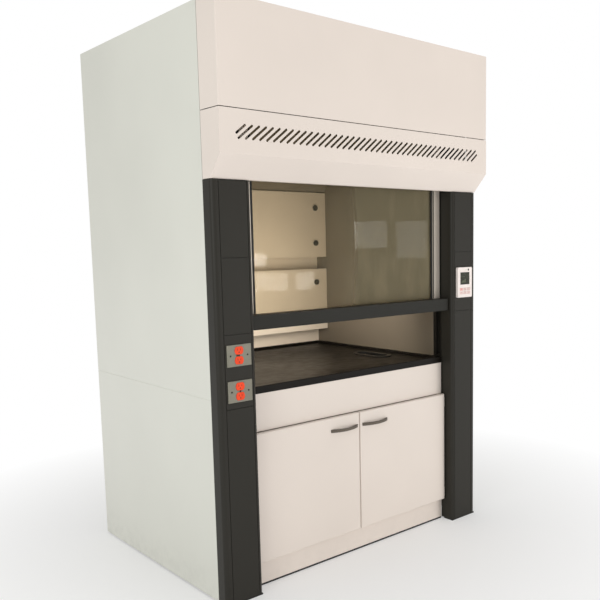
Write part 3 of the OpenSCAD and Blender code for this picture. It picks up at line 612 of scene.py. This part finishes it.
def scalloped(angle, radius):
    """Finger dips round a knob's rim, none on its stem."""
    if radius <= STEM_RADIUS:
        return radius
    return radius * (1 - DIP_DEPTH * (0.5 - 0.5 * math.cos(FINGER_DIPS * angle)) ** 1.5)


def baffle_knob(index, x, front, z, seat):
    """One hand knob that clamps a baffle to its spacer."""
    profile = [(radius * MM, (seat - front) * share) for radius, share in KNOB_PROFILE]
    shape = bmesh.new()
    turned(shape, profile, facing_front(x, seat, z), 72, scalloped)
    knob = new_piece(f"baffle_knob_{index}", shape, "black_plastic", "cabinet")
    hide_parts("baffle_knobs")
    soften(knob, 0.5 * MM, 2, 40)


def baffle_knobs():
    """Two knobs side by side at each of the four heights."""
    low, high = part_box("baffle_knobs")
    reach = high.x - KNOB_RADIUS
    places = [(side * reach, z) for side in (-1, 1) for z in KNOB_HEIGHTS]
    for index, (x, z) in enumerate(places, 1):
        baffle_knob(index, x, low.y, z, high.y)


baffle_knobs()


# ---- screws ----------------------------------------------------------------------------------


# shares of a screw head's size: how far round its arch the dome goes before the rim, how far
# out a cross recess reaches, and how high its floor lies
DOME_ARCH, CROSS_REACH, RECESS_FLOOR = 0.93, 0.62, 0.35
HEAD_RINGS = 9


def domed_head(shape, place, radius, height, recess, wide, steps=48):
    """A domed screw head; recess holds the directions, in degrees, of the slots cut in it."""
    rings = []
    for k in range(HEAD_RINGS + 1):
        r = radius * k / HEAD_RINGS
        ring = []
        for angle in around(steps):
            x, y = r * math.cos(angle), r * math.sin(angle)
            z = height * math.sqrt(1 - (DOME_ARCH * k / HEAD_RINGS) ** 2)
            for turn in map(math.radians, recess):
                off = abs(-x * math.sin(turn) + y * math.cos(turn))
                along = abs(x * math.cos(turn) + y * math.sin(turn))
                if off < wide / 2 and (len(recess) == 1 or along < radius * CROSS_REACH):
                    z = min(z, height * RECESS_FLOOR)
            ring.append(shape.verts.new(place @ Vector((x, y, z))))
        rings.append(ring)
    rim = [Vector((radius * math.cos(a), radius * math.sin(a), 0.0)) for a in around(steps)]
    rings.append([shape.verts.new(place @ corner) for corner in rim])
    skinned(shape, rings)
    shape.faces.new(rings[-1])
    bmesh.ops.remove_doubles(shape, verts=rings[0], dist=1e-7)


# heights of the middles of the two outlet plates
OUTLET_HEIGHTS = (1.014, 0.871)
PLATE_SCREW_RADIUS, PANEL_SCREW_RADIUS = 3.6 * MM, 4.6 * MM
# rows of screws in all three columns of the rear, and more rows in its two outer columns
PANEL_SCREW_ROWS = (0.040, 0.828, 0.848, 2.318)
OUTER_SCREW_ROWS = (0.434, 1.340, 1.830)


def outlet_plate_screws():
    """Slotted screws, three across the middle of each outlet plate."""
    low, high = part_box("outlet_screws")
    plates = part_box("outlet_plates")
    mid_x = (plates[0].x + plates[1].x) / 2
    seat = plates[0].y
    shape = bmesh.new()
    for z in OUTLET_HEIGHTS:
        for x in (low.x + PLATE_SCREW_RADIUS, mid_x, high.x - PLATE_SCREW_RADIUS):
            domed_head(shape, facing_front(x, seat, z), PLATE_SCREW_RADIUS, seat - low.y, (35,), 1.1 * MM)
    screws = new_piece("outlet_plate_screws", shape, "black_screw", "cabinet")
    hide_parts("outlet_screws")


def rear_panel_screws():
    """Cross-recessed screws along the rear panels' edges and middle."""
    low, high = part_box("panel_screws")
    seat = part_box("rear_panels")[1].y
    head = PANEL_SCREW_RADIUS
    shape = bmesh.new()
    for x in (low.x + head, 0.0, high.x - head):
        for z in PANEL_SCREW_ROWS + (OUTER_SCREW_ROWS if x else ()):
            domed_head(shape, facing_back(x, seat, z), head, high.y - seat, (45, 135), 1.0 * MM, 64)
    screws = new_piece("rear_panel_screws", shape, "steel", "cabinet")
    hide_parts("panel_screws")


outlet_plate_screws()
rear_panel_screws()


# ---- outlets ---------------------------------------------------------------------------------


# a duplex outlet's two faces lie this far over and under the middle of its plate
FACE_RISE = 19.5 * MM
# blade slots of one face: left side and top, from the middle of the face, in millimetres
BLADE_SLOTS = ((-7.48, 7.98), (5.52, 6.98))
BLADE_WIDTH, SLOT_FOOT = 1.96 * MM, 0.02 * MM
EARTH_RADIUS, EARTH_DROP = 2.55 * MM, 7 * MM


def outlet_wells():
    """Contact chambers seen through the blade slots and earth holes, their dark red the orange plastic as
    painted shade deep in the holes.
    """
    low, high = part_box("outlet_receptacles")
    mid_x = (low.x + high.x) / 2
    shape = bmesh.new()
    front, back = low.y + 0.4 * MM, low.y + 5.8 * MM
    for z in OUTLET_HEIGHTS:
        for face in (z - FACE_RISE, z + FACE_RISE):
            for left, tall in BLADE_SLOTS:
                near = mid_x + left * MM
                slab(shape, (near, front, face + SLOT_FOOT), (near + BLADE_WIDTH, back, face + tall * MM))
            earth = [(EARTH_RADIUS, 0), (EARTH_RADIUS, back - front)]
            turned(shape, earth, facing_front(mid_x, back, face - EARTH_DROP), 32)
    new_piece("outlet_wells", shape, "slot_shade", "cabinet", smooth=False)


outlet_wells()


# ---- controller ------------------------------------------------------------------------------


def stroke(shape, start, end, wide, y, thick=0.12 * MM):
    """A flat printed line in the front plane y, from start to end, as [x, z]."""
    (x0, z0), (x1, z1) = start, end
    length = math.hypot(x1 - x0, z1 - z0)
    across = Vector((-(z1 - z0), 0, x1 - x0)) / length * wide / 2
    corners = [Vector((x0, y, z0)) + across, Vector((x0, y, z0)) - across]
    corners += [Vector((x1, y, z1)) - across, Vector((x1, y, z1)) + across]
    front = [shape.verts.new(c - Vector((0, thick, 0))) for c in corners]
    back = [shape.verts.new(c) for c in corners]
    shape.faces.new(front)
    shape.faces.new(back[::-1])
    for i in range(4):
        j = (i + 1) % 4
        shape.faces.new((front[j], front[i], back[i], back[j]))


def curve_strokes(shape, centre, radius, start, end, wide, y, steps=16):
    """A printed arc, from angle start to angle end."""
    turns = [math.radians(start + (end - start) * i / steps) for i in range(steps + 1)]
    points = [(centre[0] + radius * math.cos(a), centre[1] + radius * math.sin(a)) for a in turns]
    for near, far in zip(points, points[1:]):
        stroke(shape, near, far, wide, y)


def symbol_power(shape, x, z, y):
    """An open ring with a bar in its gap."""
    curve_strokes(shape, (x, z), 3 * MM, 125, 415, 0.7 * MM, y)
    stroke(shape, (x, z + 0.6 * MM), (x, z + 3.8 * MM), 0.7 * MM, y)


def symbol_fan(shape, x, z, y):
    """Three curled blades round a hub."""
    for turn in (90, 210, 330):
        a = math.radians(turn)
        tip = (x + 2.2 * MM * math.cos(a), z + 2.2 * MM * math.sin(a))
        curve_strokes(shape, tip, 1.4 * MM, turn - 100, turn + 160, 0.6 * MM, y, 10)
    curve_strokes(shape, (x, z), 0.6 * MM, 0, 360, 0.6 * MM, y, 8)


def symbol_lamp(shape, x, z, y):
    """A bulb over three short bars."""
    curve_strokes(shape, (x, z + 0.8 * MM), 2.2 * MM, -50, 230, 0.6 * MM, y, 14)
    for drop in (1.4, 2.4, 3.4):
        stroke(shape, (x - 1.2 * MM, z - drop * MM), (x + 1.2 * MM, z - drop * MM), 0.5 * MM, y)


def symbol_arrow(shape, x, z, y, way):
    """A chevron that points up (way 1) or down (way -1)."""
    tip = (x, z + way * 2.6 * MM)
    for side in (-1, 1):
        stroke(shape, (x + side * 3 * MM, z - way * 1.2 * MM), tip, 0.8 * MM, y)


def symbol_tick(shape, x, z, y):
    """A tick."""
    stroke(shape, (x - 2.8 * MM, z), (x - 0.8 * MM, z - 2.2 * MM), 0.8 * MM, y)
    stroke(shape, (x - 0.8 * MM, z - 2.2 * MM), (x + 3.0 * MM, z + 2.6 * MM), 0.8 * MM, y)


SYMBOLS = {
    "key_power": (symbol_power, "ink_red"),
    "key_fan": (symbol_fan, "ink_grey"),
    "key_lamp": (symbol_lamp, "ink_grey"),
    "key_up": (lambda s, x, z, y: symbol_arrow(s, x, z, y, 1), "ink_grey"),
    "key_down": (lambda s, x, z, y: symbol_arrow(s, x, z, y, -1), "ink_grey"),
    "key_set": (symbol_tick, "ink_grey"),
}


def key_symbol(key):
    """The mark printed on one key; it moves with the key."""
    draw, ink = SYMBOLS[key]
    low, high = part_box(key)
    shape = bmesh.new()
    draw(shape, (low.x + high.x) / 2, (low.z + high.z) / 2, low.y)
    new_piece(key + "_symbol", shape, ink, key, smooth=False)


def screen_marks():
    """Airflow bars and a sash height scale on the display."""
    low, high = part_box("controller_screen")
    y = low.y
    shape = bmesh.new()
    wide, tall = high.x - low.x, high.z - low.z
    for i in range(9):
        x = low.x + wide * (0.14 + 0.055 * i)
        stroke(shape, (x, low.z + tall * 0.16), (x, low.z + tall * (0.24 + 0.03 * i)), 2.1 * MM, y)
    for i in range(6):
        z = low.z + tall * (0.16 + 0.13 * i)
        stroke(shape, (high.x - wide * 0.2, z), (high.x - wide * (0.12 if i % 5 else 0.08), z), 0.7 * MM, y)
    rule, words = high.z - tall * 0.22, high.z - tall * 0.36
    stroke(shape, (low.x + wide * 0.12, rule), (low.x + wide * 0.62, rule), 0.6 * MM, y)
    for dash in (0.14, 0.26, 0.38):
        stroke(shape, (low.x + wide * dash, words), (low.x + wide * (dash + 0.08), words), 2.2 * MM, y)
    new_piece("screen_marks", shape, "lcd_mark", "cabinet", smooth=False)


# radius and height over the housing, in millimetres
SENSOR_DISC = ((5.2, -0.5), (5.2, 0.25), (4.4, 0.5), (3.6, 0.2), (0.6, 0.3))
SIGNAL_DOME = ((1.9, -0.5), (1.9, 0.2), (1.5, 0.7), (0.8, 1.0), (0.2, 1.1))


def controller_fittings():
    """Round sensor cap and a small signal lamp over the screen."""
    low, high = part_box("controller_housing")
    mid, row = (low.x + high.x) / 2, high.z - 13 * MM
    sensor = bmesh.new()
    disc = [(radius * MM, rise * MM) for radius, rise in SENSOR_DISC]
    turned(sensor, disc, facing_front(mid + 26 * MM, low.y, row), 36)
    new_piece("sensor_cap", sensor, "black_plastic", "cabinet")
    lamp = bmesh.new()
    dome = [(radius * MM, rise * MM) for radius, rise in SIGNAL_DOME]
    turned(lamp, dome, facing_front(mid + 8 * MM, low.y, row), 24)
    new_piece("signal_lamp", lamp, "lamp_green", "cabinet")


for key in SYMBOLS:
    key_symbol(key)
screen_marks()
controller_fittings()


# ---- sash ropes ------------------------------------------------------------------------------


ROPE_RADIUS = 1.5 * MM
# straight pieces that each length of a rope is made of
SASH_RUN_PARTS, WRAP_PARTS, WEIGHT_RUN_PARTS = 6, 32, 4


def tube_along(shape, points, radius, steps=12):
    """A round tube through points in a plane across Y, closed at both ends."""
    rings = []
    for i, point in enumerate(points):
        ahead = (points[min(i + 1, len(points) - 1)] - points[max(i - 1, 0)]).normalized()
        side = ahead.cross(Vector((0, 1, 0))).normalized()
        up = side.cross(ahead)
        ring = [
            shape.verts.new(point + side * radius * math.cos(a) + up * radius * math.sin(a))
            for a in around(steps)
        ]
        rings.append(ring)
    skinned(shape, rings)
    shape.faces.new(rings[0][::-1])
    shape.faces.new(rings[-1])


def plumb_run(x, y, foot, top, parts):
    """Points up a straight length of rope."""
    return [Vector((x, y, foot + (top - foot) * i / parts)) for i in range(parts + 1)]


def rope_piece(name, points, body):
    """One length of rope; one that is to be stretched between two bodies rides on none."""
    shape = bmesh.new()
    tube_along(shape, points, ROPE_RADIUS)
    rope = new_piece(name, shape, "rope", body)
    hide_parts("sash_cables")
    return rope


def sash_ropes(side, word):
    """One rope in three lengths: the run to the sash, the wrap on the pulley, the run to the weight."""
    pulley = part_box("pulley_" + word)
    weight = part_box("counterweight_" + word)
    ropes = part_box("sash_cables")
    centre = (pulley[0] + pulley[1]) / 2
    reach = (ropes[1].z - ROPE_RADIUS) - centre.z
    inner, outer = centre.x - side * reach, centre.x + side * reach
    foot, hook = ropes[0].z, weight[1].z
    run = plumb_run(inner, centre.y, foot, centre.z, SASH_RUN_PARTS)
    sash_run = rope_piece(f"rope_{word}_sash_run", run, None)
    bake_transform(sash_run)
    turn = [
        Vector((centre.x + side * reach * math.cos(a), centre.y, centre.z + reach * math.sin(a)))
        for a in (math.pi * i / WRAP_PARTS for i in range(WRAP_PARTS + 1))
    ]
    rope_piece(f"rope_{word}_wrap", turn, "cabinet")
    drop = plumb_run(outer, centre.y, hook, centre.z, WEIGHT_RUN_PARTS)
    weight_run = rope_piece(f"rope_{word}_weight_run", drop, None)
    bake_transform(weight_run)


sash_ropes(1, "right")
sash_ropes(-1, "left")


# ---- small fittings --------------------------------------------------------------------------


# wall of the handle bar with a little play for its plugs, which lie just inside its ends
BAR_WALL, PLUG_LENGTH, PLUG_INSET = 2.7 * MM, 9 * MM, 0.4 * MM
# the side skins' thickness, and the heights between which their jointing strips show
SKIN = 1.2 * MM
SEAM_FOOT, SEAM_TOP = 0.8364, 0.8396
BEAD_WIDTH, BEAD_REACH = 5.2 * MM, 8.2 * MM


def bar_end_cap(side, word):
    """Plastic plug let into the open end of the handle bar."""
    low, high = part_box("sash_bar")
    end = side * high.x
    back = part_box("sash_stiles")[0].y - BAR_WALL
    shape = bmesh.new()
    slab(
        shape,
        (end - side * PLUG_LENGTH, low.y + BAR_WALL, low.z + BAR_WALL),
        (end - side * PLUG_INSET, back, high.z - BAR_WALL),
    )
    plug = new_piece(f"bar_end_cap_{word}", shape, "black_plastic", "sash")
    soften(plug, 1.0 * MM, 3)


def side_seam_strips():
    """Painted jointing strips just inside the seam between the lower and upper side skins."""
    for side, word in ((-1, "left"), (1, "right")):
        low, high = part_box("side_panels_" + word)
        skin_face = high.x if side > 0 else low.x
        near, deep = skin_face - side * 0.75 * SKIN, skin_face - side * 1.6 * SKIN
        shape = bmesh.new()
        slab(shape, (near, low.y + 1 * MM, SEAM_FOOT), (deep, high.y - 3 * MM, SEAM_TOP))
        new_piece(f"side_seam_strip_{word}", shape, "side_paint", "cabinet", smooth=False)


def seal_and_shade_beads():
    """Black rubber beads where the pane enters its stiles, partly a real seal and partly painted shade: they
    darken the stile strip that the left post shadows.
    """
    pane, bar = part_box("sash_glass"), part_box("sash_bar")
    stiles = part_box("sash_stiles")
    for side, word in ((-1, "left"), (1, "right")):
        inner = side * (pane[1].x - BEAD_REACH)
        shape = bmesh.new()
        slab(
            shape,
            (inner, stiles[0].y - 0.6 * MM, bar[1].z + 0.3 * MM),
            (inner + side * BEAD_WIDTH, stiles[0].y + 1.0 * MM, stiles[1].z - 2 * MM),
        )
        # the beads darken the stile strip in the left post's shadow: painted shade
        bead = new_piece(f"seal_and_shade_bead_{word}", shape, "black_rubber", "sash")
        soften(bead, 0.4 * MM)


# height of the cup sink's floor over the hood's
SINK_FLOOR = 0.704
# the strainer's ring, once round its section: radius and height over the sink's floor, and the
# places of the bars across it, all in millimetres
STRAINER_RING = ((15.6, -6.0), (15.6, 0.6), (14.6, 1.0), (12.6, 0.8), (12.6, -6.0))
STRAINER_BARS = (-8, -4, 0, 4, 8)
BAR_REACH, BAR_HALF_WIDTH = 12.9, 0.7


def sink_strainer():
    """Barred strainer in the cup sink's outlet."""
    low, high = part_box("cup_sink")
    x, y = (low.x + high.x) / 2, (low.y + high.y) / 2
    place = Matrix.Translation((x, y, SINK_FLOOR))
    shape = bmesh.new()
    rings = []
    for radius, rise in STRAINER_RING:
        r, z = radius * MM, rise * MM
        ring = [Vector((r * math.cos(a), r * math.sin(a), z)) for a in around(40)]
        rings.append([shape.verts.new(place @ corner) for corner in ring])
    skinned(shape, rings + rings[:1])
    for bar in STRAINER_BARS:
        half = math.sqrt(BAR_REACH**2 - bar**2) * MM
        slab(
            shape,
            (x + (bar - BAR_HALF_WIDTH) * MM, y - half, SINK_FLOOR - 4 * MM),
            (x + (bar + BAR_HALF_WIDTH) * MM, y + half, SINK_FLOOR - 1 * MM),
        )
    new_piece("sink_strainer", shape, "black_plastic", "cabinet", smooth=False)


bar_end_cap(1, "right")
bar_end_cap(-1, "left")
sink_strainer()
side_seam_strips()
seal_and_shade_beads()


# ---- studio ----------------------------------------------------------------------------------


WHITE = (1.0, 1.0, 1.0, 1.0)
# the floor fades to plain white between these distances from the middle of the footprint, and
# is plain white by this share nearer than that
FLOOR_FADE_START, FLOOR_FADE_END, FLOOR_FADE_BASE = 0.6, 2.3, 0.25


def studio_floor():
    """Pale seamless floor that runs out into plain white away from the hood."""
    f = Finish("studio_floor")
    cloud = f.noise(2.5, 3.0)
    body = f.mixed(cloud, (0.95, 0.95, 0.947, 1.0), (0.98, 0.98, 0.977, 1.0))
    near = f.surface(Base_Color=body, Roughness=0.65)
    far = f.add("Emission", sockets={"Color": WHITE, "Strength": 1.0})
    reach = f.add("VectorMath", {"operation": "LENGTH"}, {0: f.place()}, "Value")
    fade = reach.spread(FLOOR_FADE_START, FLOOR_FADE_END, FLOOR_FADE_BASE, 1.0)
    material = f.close(f.add("MixShader", sockets={0: fade, 1: near, 2: far}))
    shape = bmesh.new()
    bmesh.ops.create_grid(shape, x_segments=2, y_segments=2, size=60.0)
    mesh = bpy.data.meshes.new("studio_floor")
    shape.to_mesh(mesh)
    shape.free()
    mesh.materials.append(material)
    floor = bpy.data.objects.new("studio_floor", mesh)
    floor.location.z = -0.2 * MM
    bpy.context.scene.collection.objects.link(floor)


def soft_light(name, place, aim, width, height, watts, colour=(1, 1, 1)):
    """A rectangular lamp at a place, turned to its aim."""
    lamp = bpy.data.lights.new(name, "AREA")
    lamp.shape = "RECTANGLE"
    lamp.size, lamp.size_y = width, height
    lamp.energy = watts
    lamp.color = colour
    holder = bpy.data.objects.new(name, lamp)
    holder.location = place
    holder.rotation_mode = "QUATERNION"
    holder.rotation_quaternion = (Vector(aim) - Vector(place)).to_track_quat("-Z", "Y")
    bpy.context.scene.collection.objects.link(holder)
    return holder


# window panes across the room that the sash glass mirrors: name, x, height, width, tallness, watts
WINDOWS = (
    ("high_left", 5.64, 1.58, 0.50, 0.40, 6.0),
    ("high_right", 6.60, 1.50, 0.60, 0.60, 8.0),
    ("low_left", 3.72, 0.94, 0.50, 0.24, 8.0),
    ("low_right", 4.35, 0.93, 0.26, 0.24, 4.5),
    ("spot", 3.55, 1.25, 0.22, 0.16, 6.0),
)
# along Y: the wall with the windows, and the front of the sash glass that they face
WINDOW_WALL_Y, PANE_Y = -6.4, -0.436


def surroundings():
    """Even pale room light; seen directly it is plain white."""
    f = Finish("studio", bpy.data.worlds.new("studio"))
    room = f.add("Background", sockets={"Color": (1.0, 0.985, 0.96, 1.0), "Strength": 0.50})
    plain = f.add("Background", sockets={"Color": WHITE})
    direct = f.add("LightPath", out="Is Camera Ray")
    mix = f.add("MixShader", sockets={0: direct, 1: room, 2: plain})
    bpy.context.scene.world = f.close(mix, "OutputWorld")


# the camera: place in metres, turn to the right, tilt down and roll in degrees, lens in millimetres
EYE = (-2.278, -3.036, 1.441)
EYE_TURN = (42.61, 6.89, -0.80)
LENS, SENSOR = 45.21, 36.0
LENS_SHIFT = (-0.1167, 0.0583)


def camera():
    """The camera, out in front of the hood's left corner."""
    yaw, pitch, roll = map(math.radians, EYE_TURN)
    ahead = Vector((math.sin(yaw) * math.cos(pitch), math.cos(yaw) * math.cos(pitch), -math.sin(pitch)))
    right = Vector((math.cos(yaw), -math.sin(yaw), 0.0))
    up = right.cross(ahead)
    across = right * math.cos(roll) + up * math.sin(roll)
    upward = up * math.cos(roll) - right * math.sin(roll)
    turn = Matrix((across, upward, -ahead)).transposed().to_4x4()
    lens = bpy.data.cameras.new("camera")
    lens.sensor_width = SENSOR
    lens.lens = LENS
    lens.shift_x, lens.shift_y = LENS_SHIFT
    lens.clip_start, lens.clip_end = 0.05, 200.0
    holder = bpy.data.objects.new("camera", lens)
    holder.matrix_world = Matrix.Translation(EYE) @ turn
    bpy.context.scene.collection.objects.link(holder)
    bpy.context.scene.camera = holder


def lights():
    """Two soft lamps in front, one overhead, the windows' panes and a fill inside the chamber."""
    warm, cool = (1.0, 0.97, 0.93), (0.97, 1.0, 0.97)
    front = soft_light("front_right", (3.2, -5.8, 0.9), (0.0, -0.4, 0.8), 2.6, 2.6, 110, warm)
    soft_light("front_left", (-5.2, -2.2, 1.9), (-0.6, 0.0, 1.1), 2.4, 2.4, 75, cool)
    soft_light("overhead", (0.0, -1.0, 5.2), (0.0, -0.4, 0.0), 4.0, 4.0, 25)
    for word, x, z, wide, tall, watts in WINDOWS:
        aim = (0.3 * x - 1.2, PANE_Y, z)
        soft_light("window_" + word, (x, WINDOW_WALL_Y, z), aim, wide, tall, watts)
    inside, rear = (0.0, -0.34, 1.18), (0.0, 0.44, 1.10)
    fill = soft_light("chamber_fill", inside, rear, 0.5, 0.5, 7.0, (1.0, 0.97, 0.92))
    fill.visible_camera = False
    for hidden in (front, fill):
        hidden.visible_glossy = False


studio_floor()
surroundings()
lights()
camera()
bpy.context.scene.view_settings.view_transform = "Standard"
